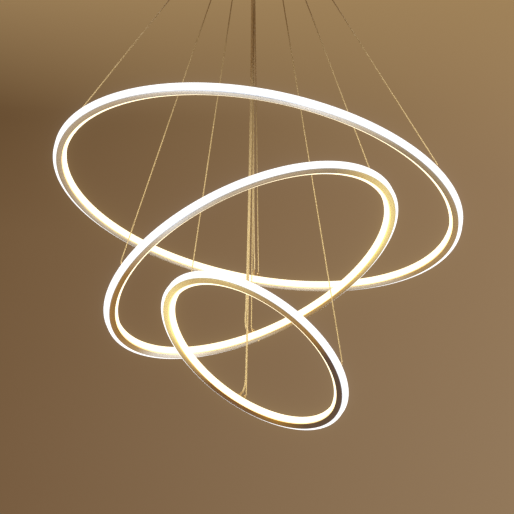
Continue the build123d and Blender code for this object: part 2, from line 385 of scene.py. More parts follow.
def rail_metal(name, painted_reflections, length):
    """Satin anodised aluminium, drawn along the ring. Its colour round the ring is painted with reflections
    and shade, with faint random wear towards silver.
    """
    finish = Finish(name, metallic=1.0, roughness=0.34)
    along, across = finish.surface()
    stops = [(place, painted_reflection) for painted_reflection, *places in painted_reflections for place in places]
    # painted reflections and painted shade, by share of a turn round the ring
    painted_reflection = finish.node("ShaderNodeValToRGB", {"stops": stops}, along / length)["Color"]
    grain = finish.noise(finish.vector(along * 9.0, across * 1400.0, 0.0), scale=1.0, detail=3.0)
    cloud = finish.noise(finish.place(), scale=14.0, detail=3.0)
    # faint random wear towards silver over the painted reflections
    painted_light_and_wear = finish.blend(cloud * 0.05, painted_reflection, SILVER)
    finish.feed(Base_Color=finish.blend(grain * 0.12, painted_light_and_wear, linear(60, 50, 38)))
    finish.feed(Roughness=0.3 + 0.08 * grain + 0.06 * cloud)
    return finish.bump(grain, strength=0.12, distance=0.03 * MM).material


def opal(name, colour, edge, strength):
    """Lit opal silicone, a little dimmer and deeper in tone where it enters the rail."""
    finish = Finish(name, roughness=0.42, emission_strength=strength)
    along, across = finish.surface()
    depth = (across * (1 / BAR_GLOW)).limit()
    cloud = finish.noise(finish.place(), scale=60.0, detail=2.0)
    glow = finish.blend(depth, edge, colour)
    finish.feed(Emission_Color=finish.blend(cloud * 0.06, glow, edge))
    finish.feed(Base_Color=finish.blend(cloud * 0.3, linear(132, 132, 131), linear(124, 123, 121)))
    peel = finish.noise(finish.place(), scale=900.0, detail=2.0)
    return finish.bump(peel, strength=0.08, distance=0.05 * MM).material


def flexible_board():
    """White flexible circuit ribbon with paired copper pads at each cut line."""
    finish = Finish("flexible_board", roughness=0.5)
    along, across = finish.surface()
    mottle = finish.noise(finish.place(), scale=80.0)
    near_cut = 1.0 - (along / PAD_PITCH).fraction().over(0.04)
    row = (across / PAD_ROW).fraction().over(0.5)
    white = finish.blend(mottle, linear(240, 237, 226), linear(228, 222, 204))
    finish.feed(Base_Color=finish.blend(near_cut * row, white, linear(196, 128, 78)))
    finish.feed(Metallic=near_cut * row)
    finish.feed(Roughness=0.42 + 0.16 * mottle)
    return finish.bump(mottle, strength=0.1, distance=0.05 * MM).material


def phosphor():
    """Yellow phosphor resin over the light-emitting chips."""
    finish = Finish("phosphor_resin", roughness=0.35, emission_strength=1.0)
    drift = finish.noise(finish.place(), scale=300.0)
    finish.feed(Base_Color=finish.blend(drift, linear(244, 206, 84), linear(232, 180, 60)))
    finish.feed(Emission_Color=finish.blend(drift, linear(255, 232, 160), linear(255, 222, 140)))
    return finish.bump(drift, strength=0.1, distance=0.05 * MM).material


def stranded_wire(name, ring_lit_tone, unlit_tone, lay, strands, **numbers):
    """Twisted strands as slanting grooves on the tube's own UV map, with painted shade in the grooves and
    painted light from the rings, brighter down among them.
    """
    finish = Finish(name, **numbers)
    along, across = finish.surface()
    turn = along * (tau / lay) + across * (tau * strands)
    groove = 0.5 + 0.5 * turn.sine()
    where = finish.place()
    height = finish.node("ShaderNodeSeparateXYZ", None, where)["Z"]
    # painted light from the rings: none high on the wire, full down among the rings
    lift = ((WIRE_UNLIT_ABOVE - height) / (WIRE_UNLIT_ABOVE - WIRE_RING_LIT_BELOW)).limit()
    smudge = finish.noise(where, scale=35.0, detail=3.0)
    tone = finish.blend(lift, unlit_tone, ring_lit_tone)
    # painted ring light, with random smudges
    painted_light_and_wear = finish.blend(smudge * 0.15, tone, linear(120, 92, 52))
    # painted shade in the grooves between the strands
    finish.feed(Base_Color=finish.blend((1.0 - groove) * 0.1, painted_light_and_wear, linear(96, 70, 36)))
    finish.feed(Roughness=0.38 + 0.2 * smudge)
    return finish.bump(groove, strength=0.08, distance=0.1 * MM).material


def speckled(name, light, dark, scale, roughness, grain=0.1, **numbers):
    """Moulded plastic or painted metal: fine orange peel, faint mottle and varied gloss."""
    finish = Finish(name, roughness=roughness, **numbers)
    where = finish.place()
    mottle = finish.noise(where, scale)
    fine = finish.noise(where, scale * 22, detail=3.0)
    finish.feed(Base_Color=finish.blend(mottle, light, dark))
    finish.feed(Roughness=(roughness - 0.06) + 0.14 * mottle)
    return finish.bump(fine, strength=grain, distance=0.1 * MM).material


def turned_metal(name, light, dark, roughness):
    """Lathe-turned plated metal with fine rings along the outline and a few handling smears."""
    finish = Finish(name, metallic=1.0, roughness=roughness)
    along, across = finish.surface()
    rings = finish.noise(finish.vector(0.0, along * 5200.0, 0.0), scale=1.0, detail=2.0)
    smear = finish.noise(finish.place(), scale=120.0)
    finish.feed(Base_Color=finish.blend(smear * 0.7, light, dark))
    finish.feed(Roughness=(roughness - 0.08) + 0.12 * rings + 0.1 * smear)
    return finish.bump(rings, strength=0.2, distance=0.05 * MM).material


def zinc_plate():
    """Bright zinc on pressed steel: soft crystal spangle and a slight blue cast."""
    finish = Finish("zinc_plate", metallic=1.0, roughness=0.38)
    where = finish.place()
    spangle = finish.node("ShaderNodeTexVoronoi", None, Vector=where, Scale=260.0)["Distance"]
    cloud = finish.noise(where, scale=45.0)
    tone = finish.blend(spangle * 0.6, linear(210, 213, 219), linear(172, 178, 190))
    finish.feed(Base_Color=finish.blend(cloud * 0.35, tone, linear(186, 188, 184)))
    finish.feed(Roughness=0.3 + 0.2 * cloud)
    return finish.bump(spangle, strength=0.1, distance=0.05 * MM).material


# ------------------------ mesh tools

ON_AXIS = 1e-7  # a corner nearer to the axis than this is one point


def mesh_of(shape, name):
    """The finished bmesh as a mesh."""
    mesh = bpy.data.meshes.new(name)
    shape.to_mesh(mesh)
    shape.free()
    return mesh


def as_mesh(holder):
    """The holder's shape, modifiers and all, as a plain mesh."""
    return bpy.data.meshes.new_from_object(holder.evaluated_get(bpy.context.evaluated_depsgraph_get()))


def rounded(corners, steps=3):
    """Closed outline from (radius, height, rounding) corners, each rounded by an arc."""
    outline = []
    count = len(corners)
    for index, (r, z, round_by) in enumerate(corners):
        corner = Vector((r, z))
        before = Vector(corners[index - 1][:2]) - corner
        after = Vector(corners[(index + 1) % count][:2]) - corner
        if round_by <= 0:
            outline.append(corner)
            continue
        half = before.angle(after) / 2
        reach = min(round_by / tan(half), 0.49 * before.length, 0.49 * after.length)
        radius = reach * tan(half)
        middle = corner + (before.normalized() + after.normalized()).normalized() * (radius / sin(half))
        start = corner + before.normalized() * reach - middle
        end = corner + after.normalized() * reach - middle
        swing = start.angle_signed(end)
        for step in range(steps + 1):
            turn = -swing * step / steps
            outline.append(middle + Vector((start.x * cos(turn) - start.y * sin(turn),
                                            start.x * sin(turn) + start.y * cos(turn))))
    return outline


def in_mm(*corners):
    """Corners given in millimetres, as a rounded outline in metres."""
    return rounded([(r * MM, z * MM, (rest[0] if rest else 0) * MM) for r, z, *rest in corners])


def smoothed(mesh, sharp):
    mesh.shade_smooth()
    mesh.set_sharp_from_angle(angle=radians(sharp))
    return mesh


def skin(shape, rings, lengths):
    """Faces from each ring of points to the next, mapped by length along them and share of a turn round."""
    layer = shape.loops.layers.uv.new("UVMap")
    sides = len(rings[0])
    for r in range(len(lengths) - 1):
        for s in range(sides):
            corners = [(r, s), (r, s + 1), (r + 1, s + 1), (r + 1, s)]
            points = [rings[i % len(rings)][n % sides] for i, n in corners]
            kept = [i for i in range(4) if points[i] != points[i - 1]]
            if len(kept) > 2:
                face = shape.faces.new([points[i] for i in kept])
                for loop, (ring, turn) in zip(face.loops, [corners[i] for i in kept]):
                    loop[layer].uv = (lengths[ring], turn / sides)


def lathe(name, outline, steps=48, sharp=35.0):
    """Solid of revolution about Z from a closed (radius, height) outline."""
    shape = bmesh.new()
    turns = [tau * s / steps for s in range(steps)]
    rings = []
    for r, z in outline:
        if r < ON_AXIS:
            rings.append([shape.verts.new((0, 0, z))] * steps)
        else:
            rings.append([shape.verts.new((r * cos(turn), r * sin(turn), z)) for turn in turns])
    lengths = [0.0]
    for first, second in zip(outline, [*outline[1:], outline[0]]):
        lengths.append(lengths[-1] + (Vector(second) - Vector(first)).length)
    skin(shape, rings, lengths)
    bmesh.ops.recalc_face_normals(shape, faces=shape.faces)
    return smoothed(mesh_of(shape, name), sharp)


def rod(radius, half_length, steps=32):
    """Plain round bar about Z, for drilling."""
    outline = [(0, -half_length), (radius, -half_length), (radius, half_length), (0, half_length)]
    return lathe("rod", outline, steps)


def prism(name, outline, low, high):
    """Solid between two heights over a closed outline."""
    shape = bmesh.new()
    face = shape.faces.new([shape.verts.new((x, y, low)) for x, y in outline])
    grown = bmesh.ops.extrude_face_region(shape, geom=[face])["geom"]
    raised = [part for part in grown if isinstance(part, bmesh.types.BMVert)]
    bmesh.ops.translate(shape, vec=(0, 0, high - low), verts=raised)
    bmesh.ops.recalc_face_normals(shape, faces=shape.faces)
    return mesh_of(shape, name)


def bevelled_box(name, size, centre, bevel, steps=3):
    """Box with rounded edges."""
    shape = bmesh.new()
    bmesh.ops.create_cube(shape, size=1.0)
    bmesh.ops.scale(shape, vec=size, verts=shape.verts)
    bmesh.ops.bevel(shape, geom=shape.edges[:], offset=bevel, segments=steps, profile=0.5, affect="EDGES")
    bmesh.ops.translate(shape, vec=centre, verts=shape.verts)
    return smoothed(mesh_of(shape, name), sharp=30)


def joined(name, *meshes):
    """One mesh of several."""
    shape = bmesh.new()
    for mesh in meshes:
        shape.from_mesh(mesh)
    return mesh_of(shape, name)


def moved(mesh, matrix):
    mesh.transform(matrix)
    return mesh


def drilled(mesh, drills, bevel=0.0):
    """The mesh with the drills' shapes cut out of it, and its edges eased."""
    holder = linked(mesh.name, mesh)
    cutter = linked("drills", joined("drills", *drills))
    cut = holder.modifiers.new("cut", "BOOLEAN")
    cut.object = cutter
    cut.operation = "DIFFERENCE"
    cut.solver = "EXACT"
    if bevel:
        ease = holder.modifiers.new("ease", "BEVEL")
        ease.width = bevel
        ease.segments = 2
        ease.limit_method = "ANGLE"
        ease.angle_limit = radians(40)
        ease.harden_normals = False
    made = as_mesh(holder)
    holder.modifiers.clear()
    for thing in (holder, cutter):
        bpy.data.objects.remove(thing)
    return smoothed(made, sharp=35)


def add_piece(name, mesh, body, slot, *nodes, finish=None):
    """Puts a mesh in the scene, on its body, in place of the named CAD nodes. Its finish is its slot's own,
    unless another is given."""
    mesh.name = name
    mesh.materials.clear()
    mesh.materials.append(finish or FINISHES[slot])
    piece = linked(name, mesh)
    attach(piece, body)
    if nodes:
        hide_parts(*nodes)
    return piece


# ------------------------ recipes in Geometry Nodes


class Recipe:
    """A Geometry Nodes tree with named inputs. What it makes becomes a plain mesh."""

    KINDS = {"number": "Int", "length": "Float", "size": "Vector", "thing": "Object", "finish": "Material"}

    def __init__(self, name, **inputs):
        self.tree = bpy.data.node_groups.new(name, "GeometryNodeTree")
        self.add_socket("shape", "INPUT", "Geometry")
        for label, kind in inputs.items():
            self.add_socket(label, "INPUT", self.KINDS[kind])
        self.add_socket("shape", "OUTPUT", "Geometry")
        self.given = self.tree.nodes.new("NodeGroupInput").outputs

    def add_socket(self, label, direction, kind):
        self.tree.interface.new_socket(label, in_out=direction, socket_type=f"NodeSocket{kind}")

    def node(self, kind, settings=None, *values, **named):
        return new_node(self.tree, kind, settings, values, named).outputs

    def end(self, shape):
        whole = self.node("GeometryNodeRealizeInstances", Geometry=shape)["Geometry"]
        finished = self.node("GeometryNodeSetMaterial", Geometry=whole, Material=self.given["finish"])
        self.tree.links.new(finished["Geometry"], self.tree.nodes.new("NodeGroupOutput").inputs[0])
        return self

    def make(self, start, sharp=35.0, **inputs):
        """Runs the tree on a start mesh."""
        holder = linked(start.name, start)
        modifier = holder.modifiers.new(self.tree.name, "NODES")
        modifier.node_group = self.tree
        for item in self.tree.interface.items_tree:
            if item.in_out == "INPUT" and item.name in inputs:
                modifier[item.identifier] = inputs[item.name]
        mesh = as_mesh(holder)
        holder.modifiers.remove(modifier)
        bpy.data.objects.remove(holder)
        return smoothed(mesh, sharp)


def swept_ring_recipe():
    """The start mesh is a closed section, which is swept round a circle."""
    recipe = Recipe("swept_ring", radius="length", steps="number", finish="finish")
    given = recipe.given
    section = recipe.node("GeometryNodeMeshToCurve", Mesh=given["shape"])["Curve"]
    circle = recipe.node("GeometryNodeCurvePrimitiveCircle", Resolution=given["steps"],
                         Radius=given["radius"])
    upright = recipe.node("GeometryNodeSetCurveNormal", {"mode": "Z_UP"}, Curve=circle["Curve"])["Curve"]
    return recipe.end(recipe.node("GeometryNodeCurveToMesh", Curve=upright, Profile_Curve=section)["Mesh"])


def blocks_round_recipe():
    """Small blocks at equal steps round a circle, added to the start mesh: knurls, ribs and chips."""
    recipe = Recipe("blocks_round", count="number", radius="length", height="length", block="size",
                    finish="finish")
    given = recipe.given
    circle = recipe.node("GeometryNodeMeshCircle", Vertices=given["count"], Radius=given["radius"])["Mesh"]
    lift = recipe.node("ShaderNodeCombineXYZ", None, 0.0, 0.0, given["height"])["Vector"]
    places = recipe.node("GeometryNodeTransform", Geometry=circle, Translation=lift)["Geometry"]
    index = recipe.node("GeometryNodeInputIndex")["Index"]
    share = recipe.node("ShaderNodeMath", {"operation": "DIVIDE"}, index, given["count"])["Value"]
    angle = recipe.node("ShaderNodeMath", {"operation": "MULTIPLY"}, share, tau)["Value"]
    turn = recipe.node("ShaderNodeCombineXYZ", None, 0.0, 0.0, angle)["Vector"]
    facing = recipe.node("FunctionNodeEulerToRotation", Euler=turn)["Rotation"]
    block = recipe.node("GeometryNodeMeshCube", Size=given["block"])["Mesh"]
    copies = recipe.node("GeometryNodeInstanceOnPoints", Points=places, Instance=block, Rotation=facing)
    whole = recipe.node("GeometryNodeJoinGeometry", Geometry=[given["shape"], copies["Instances"]])
    return recipe.end(whole["Geometry"])


def set_in_place_recipe():
    """One fitting at each point of the start mesh, turned by the point's own "turn"."""
    recipe = Recipe("set_in_place", fitting="thing", finish="finish")
    given = recipe.given
    fitting = recipe.node("GeometryNodeObjectInfo", Object=given["fitting"])["Geometry"]
    turn = recipe.node("GeometryNodeInputNamedAttribute", {"data_type": "FLOAT_VECTOR"}, Name="turn")
    facing = recipe.node("FunctionNodeEulerToRotation", Euler=turn["Attribute"])["Rotation"]
    copies = recipe.node("GeometryNodeInstanceOnPoints", Points=given["shape"], Instance=fitting,
                         Rotation=facing)
    return recipe.end(copies["Instances"])


def screw_thread_recipe():
    """A four-sided tooth wound up the stub of the start mesh."""
    recipe = Recipe("screw_thread", turns="length", radius="length", height="length", tooth="length",
                    finish="finish")
    given = recipe.given
    radius = given["radius"]
    line = recipe.node("GeometryNodeCurveSpiral", Resolution=THREAD_STEPS, Rotations=given["turns"],
                       Start_Radius=radius, End_Radius=radius, Height=given["height"])["Curve"]
    tooth = recipe.node("GeometryNodeCurvePrimitiveCircle", Resolution=4, Radius=given["tooth"])["Curve"]
    wound = recipe.node("GeometryNodeCurveToMesh", Curve=line, Profile_Curve=tooth, Fill_Caps=True)["Mesh"]
    return recipe.end(recipe.node("GeometryNodeJoinGeometry", Geometry=[given["shape"], wound])["Geometry"])


swept_ring = swept_ring_recipe()
blocks_round = blocks_round_recipe()
set_in_place = set_in_place_recipe()
screw_thread = screw_thread_recipe()


def ridged(mesh, finish, count, radius, height, block):
    """The mesh with small ridges round it, sizes in millimetres."""
    return blocks_round.make(mesh, count=count, radius=radius * MM, height=height * MM,
                             block=tuple(side * MM for side in block), finish=finish)


def threaded(mesh, finish, length):
    """The mesh with a thread up its stub, at a pitch of one millimetre."""
    return screw_thread.make(mesh, turns=length / MM, radius=STUB_RADIUS - THREAD_TOOTH,
                             height=length - 2 * THREAD_TOOTH, tooth=THREAD_TOOTH, finish=finish)


def placed(name, fitting, finish, matrices):
    """One mesh of the fitting's copies at those places."""
    points = bpy.data.meshes.new(name)
    points.from_pydata([matrix.translation for matrix in matrices], [], [])
    turns = points.attributes.new("turn", "FLOAT_VECTOR", "POINT")
    for item, matrix in zip(turns.data, matrices):
        item.vector = matrix.to_euler()
    holder = linked("fitting", fitting)
    mesh = set_in_place.make(points, fitting=holder, finish=finish)
    bpy.data.objects.remove(holder)
    return mesh


# ------------------------ rings


class Ring:
    """Place and sizes of one light ring. Its own frame has +Z along its axis, and +X without a share of Y."""

    def __init__(self, name, radius, centre, drop, slope, exit_radius, anchor_turn):
        self.name = name
        self.body = f"{name}_ring"
        self.exit_radius = exit_radius
        self.anchor_turn = anchor_turn
        self.rail_middle = radius - BAR_REACH - RAIL_WIDTH / 2
        axis = Vector((*slope, 1.0)).normalized()
        level = (Vector((1, 0, 0)) - axis * axis.x).normalized()
        self.matrix = Matrix((level, axis.cross(level), axis)).transposed().to_4x4()
        self.matrix.translation = Vector((*centre, EXIT_HEIGHT - drop))

    def seat(self, bearing, along=0.0):
        """Frame on the rail's top face, at that bearing, moved along the rail by a length."""
        turn = ANCHOR_BEARINGS[bearing] + self.anchor_turn + along / self.rail_middle
        return self.frame(turn, RAIL_HEIGHT / 2)

    def frame(self, turn, height):
        """Frame over the rail's middle line."""
        local = Matrix.Translation((self.rail_middle * cos(turn), self.rail_middle * sin(turn), height))
        return self.matrix @ local @ Matrix.Rotation(turn, 4, "Z")

    def exit(self, bearing):
        turn = WIRE_BEARINGS[bearing]
        return Vector((self.exit_radius * cos(turn), self.exit_radius * sin(turn), EXIT_HEIGHT))

    def anchor_tip(self, bearing):
        return self.seat(bearing) @ Vector((0, 0, ANCHOR_HEIGHT))

    def gland_point(self, height):
        return self.seat("far", GLAND_OFFSET) @ Vector((0, 0, height))


RINGS = (Ring("large", **LARGE), Ring("middle", **MIDDLE), Ring("small", **SMALL))

# Painted reflections and painted shade on the rail round each ring, from its right side over the far, left and
# near
# sides: each with the share of a turn where it stands, or from which to which it holds
PAINTED_REFLECTIONS = {
    "large": (
        (SAND, 0.0, 0.09), (STONE, 0.13), (PALE, 0.22, 0.31), (STONE, 0.34, 0.42), (BEIGE, 0.46, 0.63),
        (COOL, 0.71, 0.76), (SHINE, 0.79), (STONE, 0.83), (SHADE, 0.87, 0.92), (SAND, 1.0),
    ),
    "middle": (
        (PALE_GOLD, 0.0, 0.04), (GOLD, 0.10), (SAND, 0.14, 0.20), (STONE, 0.25), (PALE, 0.30), (SHINE, 0.33),
        (COOL, 0.38), (SAND, 0.415), (OLD_GOLD, 0.46, 0.58), (BEIGE, 0.63), (COOL, 0.66), (STONE, 0.71),
        (BEIGE, 0.76), (SHADE, 0.84), (GOLD, 0.88), (PALE_GOLD, 0.93),
    ),
    "small": (
        (BRONZE, 0.0, 0.14), (OLD_GOLD, 0.20), (UMBER, 0.25, 0.33), (SAND, 0.38), (GOLD, 0.42),
        (PALE_GOLD, 0.46, 0.57), (GOLD, 0.64, 0.72), (SAND, 0.78), (OLD_GOLD, 0.87), (BRONZE, 0.91),
    ),
}


def rail_section():
    """H section with eased edges and flanges that are a little crowned, about the rail's middle line."""
    side, web, top = RAIL_WIDTH / 2, RAIL_WEB / 2, RAIL_HEIGHT / 2
    edge, lip = top - RAIL_CROWN, top - RAIL_FLANGE
    soft, fillet = RAIL_EDGE, RAIL_FILLET
    quarter, shoulder = RAIL_WIDTH / 4, top - RAIL_CROWN / 4
    return rounded([
        (side, edge, soft), (side, lip, soft), (web, lip, fillet), (web, -lip, fillet),
        (side, -lip, soft), (side, -edge, soft), (quarter, -shoulder, 0), (0, -top, 0),
        (-quarter, -shoulder, 0), (-side, -edge, soft), (-side, -lip, soft), (-web, -lip, fillet),
        (-web, lip, fillet), (-side, lip, soft), (-side, edge, soft), (-quarter, shoulder, 0),
        (0, top, 0), (quarter, shoulder, 0),
    ])


def bar_section(side):
    """Opal bar: a square back in the recess and a softly rounded front."""
    mouth = side * RAIL_WIDTH / 2
    back, face = mouth - side * BAR_SEAT, mouth + side * (BAR_REACH - BAR_INSET)
    half = RAIL_HEIGHT / 2 - RAIL_FLANGE - FIT
    return rounded([
        (back, -half, BAR_BACK_ROUND), (face, -half, BAR_ROUND),
        (face, half, BAR_ROUND), (back, half, BAR_BACK_ROUND),
    ], steps=5)


def ribbon_section(side):
    back = side * (RAIL_WEB / 2 + FIT)
    front = back + side * RIBBON_THICKNESS
    half = STRIP_WIDTH / 2
    return rounded([(back, -half, 0), (front, -half, 0), (front, half, 0), (back, half, 0)])


def ring_of(ring, name, section, finish, across):
    """A section swept round the ring, mapped by length round it and by the given length across it."""
    outline = bpy.data.meshes.new(name)
    count = len(section)
    outline.from_pydata([(x, -y, 0) for x, y in section], [(i, (i + 1) % count) for i in range(count)], [])
    mesh = swept_ring.make(outline, radius=ring.rail_middle, steps=RING_STEPS, finish=finish)
    layer = mesh.uv_layers.new(name="UVMap").data
    for face in mesh.polygons:
        middle = atan2(face.center.y, face.center.x) % tau
        for loop in face.loop_indices:
            x, y, z = mesh.vertices[mesh.loops[loop].vertex_index].co
            turn = middle + (atan2(y, x) - middle + pi) % tau - pi
            layer[loop].uv = (turn * ring.rail_middle, across(hypot(x, y) - ring.rail_middle, z))
    return mesh


def seated(mesh, ring, label, slot, *nodes, finish=None):
    """Puts a mesh made in the ring's own frame on the ring."""
    add_piece(f"{ring.name}_{label}", moved(mesh, ring.matrix), ring.body, slot, *nodes, finish=finish)


def make_ring(ring):
    name = ring.name
    metal = rail_metal(f"{name}_rail_metal", PAINTED_REFLECTIONS[name], tau * ring.rail_middle)
    rail = ring_of(ring, "rail", rail_section(), metal, lambda x, z: x + z)
    seated(rail, ring, "rail_shell", "rail_metal", f"{name}_rail", finish=metal)
    board, resin = FINISHES["flexible_board"], FINISHES["phosphor"]
    for side, label in ((1, "outer"), (-1, "inner")):
        opal_slot = f"{label}_opal"
        bar = ring_of(ring, "bar", bar_section(side), FINISHES[opal_slot],
                      lambda x, z: side * x - RAIL_WIDTH / 2)
        seated(bar, ring, f"{label}_opal_bar", opal_slot, f"{name}_{label}_diffuser")
        ribbon = ring_of(ring, "ribbon", ribbon_section(side), board, lambda x, z: z)
        seated(ribbon, ring, f"{label}_led_ribbon", "led_strip", f"{name}_{label}_led_strip", finish=board)
        middle = ring.rail_middle + side * (RAIL_WEB / 2 + FIT + RIBBON_THICKNESS + CHIP_SIZE[0] / 2)
        chips = blocks_round.make(bpy.data.meshes.new("chips"), count=int(tau * middle / CHIP_PITCH),
                                  radius=middle, height=0.0, block=CHIP_SIZE, finish=resin)
        seated(chips, ring, f"{label}_led_chips", "led_strip", finish=resin)


# ------------------------ fittings on a ring


def make_anchors(ring):
    """Knurled knobs that hold the crimped ends of the wires."""
    metal = FINISHES["knob_metal"]
    knob = lathe("knob", in_mm(
        (0, 0), (4, 0, 0.25), (4, 1.2, 0.35), (3.4, 1.6, 0.1), (3.4, 6.2, 0.1), (3.8, 6.5, 0.25),
        (3.8, 7.2, 0.4), (2.2, 8, 0.25), (2.2, 9.4, 0.3), (1.75, 9.9, 0.15), (1.75, 11.7, 0.3),
        (0, 12)), steps=32)
    knob = ridged(knob, metal, count=24, radius=3.5, height=3.9, block=(0.55, 0.4, 4.5))
    mesh = placed("anchors", knob, metal, [ring.seat(bearing) for bearing in ANCHOR_BEARINGS])
    add_piece(f"{ring.name}_anchor_knobs", mesh, ring.body, "knob_metal", f"{ring.name}_wire_anchors")


def make_gland(ring):
    """Stepped strain relief with a ribbed spout round the power cord."""
    moulding = FINISHES["gland_plastic"]
    ribs, first, pitch, reach, taper = 5, 5.4, 1.6, 2.4, 0.08
    spout = []
    for rib in range(ribs):
        low, wide = first + pitch * rib, reach - taper * rib
        neck = wide - 0.4
        spout += [(wide, low, 0.15), (wide, low + 0.95, 0.15),
                  (neck, low + 1.1, 0.05), (neck, low + 1.5, 0.05)]
    body = lathe("gland", in_mm(
        (0, 0), (4.2, 0, 0.25), (4.2, 1.5, 0.35), (3.6, 1.9, 0.1), (3.6, 4.3, 0.3), (2.9, 5, 0.3), *spout,
        (1.8, 13.6, 0.1), (1.8, 14, 0.1), (0, 14)), steps=32)
    body = ridged(body, moulding, count=12, radius=3.65, height=3.1, block=(0.6, 0.9, 2.0))
    place = ring.seat("far", GLAND_OFFSET)
    name = ring.name
    add_piece(f"{name}_gland_body", moved(body, place), ring.body, "gland_plastic", f"{name}_cord_gland")


def make_seam_screw(ring):
    """Small domed screw under the rail, where the bent rail's ends meet."""
    outline = in_mm((0, -1.5), (1.2, -1.3, 0.8), (2.1, -0.3, 0.2), (2.1, 0.15), (0, 0.15))
    head = lathe("seam_screw", outline, steps=24)
    place = ring.frame(SEAM_TURN, -RAIL_HEIGHT / 2) @ Matrix.Translation((SEAM_OUT, 0, 0))
    add_piece(f"{ring.name}_seam_screw", moved(head, place), ring.body, "knob_metal")


# ------------------------ wires and cords


def smooth_line(points):
    """Points along the smooth line that the given points control."""
    data = bpy.data.curves.new("line", "CURVE")
    data.dimensions = "3D"
    data.resolution_u = LINE_STEPS
    spline = data.splines.new("NURBS")
    spline.points.add(len(points) - 1)
    for point, place in zip(spline.points, points):
        point.co = (*place, 1.0)
    spline.order_u = 3
    spline.use_endpoint_u = True
    holder = linked("line", data)
    read = as_mesh(holder)
    line = [vertex.co.copy() for vertex in read.vertices]
    bpy.data.objects.remove(holder)
    bpy.data.curves.remove(data)
    bpy.data.meshes.remove(read)
    return line


def tube(name, line, radius, sides):
    """Round tube along a line, with its ends capped."""
    shape = bmesh.new()
    turns = [tau * s / sides for s in range(sides)]
    run = 0.0
    rings, lengths = [], []
    across = Vector((1, 0, 0))
    for index, place in enumerate(line):
        before = line[max(index - 1, 0)]
        after = line[min(index + 1, len(line) - 1)]
        along = (after - before).normalized()
        across = (across - along * across.dot(along)).normalized()
        other = along.cross(across)
        run += (place - before).length
        lengths.append(run)
        rings.append([shape.verts.new(place + (across * cos(turn) + other * sin(turn)) * radius)
                      for turn in turns])
    skin(shape, rings, lengths)
    shape.faces.new(list(reversed(rings[0])))
    shape.faces.new(rings[-1])
    bmesh.ops.recalc_face_normals(shape, faces=shape.faces)
    return smoothed(mesh_of(shape, name), sharp=60)


def hang(name, line, diameter, sides, slot):
    """Tube along a line from the canopy to a ring."""
    mesh = tube("tube", line, diameter / 2, sides)
    piece = add_piece(f"{name}_{TUBE_NAMES[slot]}", mesh, "root", slot, name)
    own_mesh(piece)


def make_wire(ring, bearing):
    high, low = ring.exit(bearing), ring.anchor_tip(bearing)
    line = [high.lerp(low, step / WIRE_SPANS) for step in range(WIRE_SPANS + 1)]
    hang(f"{ring.name}_wire_{bearing}", line, WIRE_DIAMETER, 12, "wire_steel")


def make_cord(ring):
    """Power cord: the source's route, with two points that lay its long run beside the far wire."""
    high, low = ring.exit("far"), ring.anchor_tip("far")
    down = (low - high).normalized()
    aside_high, aside_low = (Vector((*aside, 0)) for aside in CORD_ASIDE[ring.name])
    grip = high - Vector((CORD_GRIP_OFFSET, 0, 0))
    line = smooth_line([
        grip, grip - Vector((0, 0, CORD_DOWN_FROM_GRIP)), high + down * CORD_JOINS_WIRE + aside_high,
        low - down * CORD_LEAVES_WIRE + aside_low, ring.gland_point(GLAND_HEIGHT + CORD_UP_FROM_GLAND),
        ring.gland_point(GLAND_HEIGHT),
    ])
    hang(f"{ring.name}_power_cord", line, CORD_DIAMETER, 16, "cord_sheath")


# ------------------------ canopy


def gripper_places():
    return {(ring.name, bearing): Vector((*ring.exit(bearing).xy, CANOPY_FLOOR))
            for ring in RINGS for bearing in WIRE_BEARINGS}


def cord_grip_places():
    beside = Vector((CORD_GRIP_OFFSET, 0, 0))
    return [place - beside for (ring, bearing), place in gripper_places().items() if bearing == "far"]


def side_screw_drill(reach, steps):
    """Drill along X for both side screws at once."""
    drill = rod(SIDE_SCREW_RADIUS + DRILL_CLEARANCE, reach, steps)
    return moved(drill, Matrix.Translation((0, 0, -SIDE_SCREW_DEPTH)) @ Matrix.Rotation(pi / 2, 4, "Y"))


def make_canopy():
    """Spun pan with a rolled lip, drilled for the grippers, cord grips and side screws."""
    floor, wall = CANOPY_FLOOR, CANOPY_WALL
    inside = CANOPY_RADIUS - wall
    pan = lathe("pan", rounded([
        (0, floor, 0), (CANOPY_RADIUS, floor, 2.2 * MM), (CANOPY_RADIUS, 0, 0.5 * MM),
        (inside, 0, 0.5 * MM), (inside, floor + wall, 1.2 * MM), (0, floor + wall, 0),
    ], steps=6), steps=160)
    drills = [
        moved(rod(STUB_RADIUS + DRILL_CLEARANCE, 4 * wall), Matrix.Translation(place))
        for place in [*gripper_places().values(), *cord_grip_places()]
    ]
    drills.append(side_screw_drill(CANOPY_RADIUS + MM, steps=32))
    add_piece("canopy_pan", drilled(pan, drills), "root", "canopy_paint", "canopy")


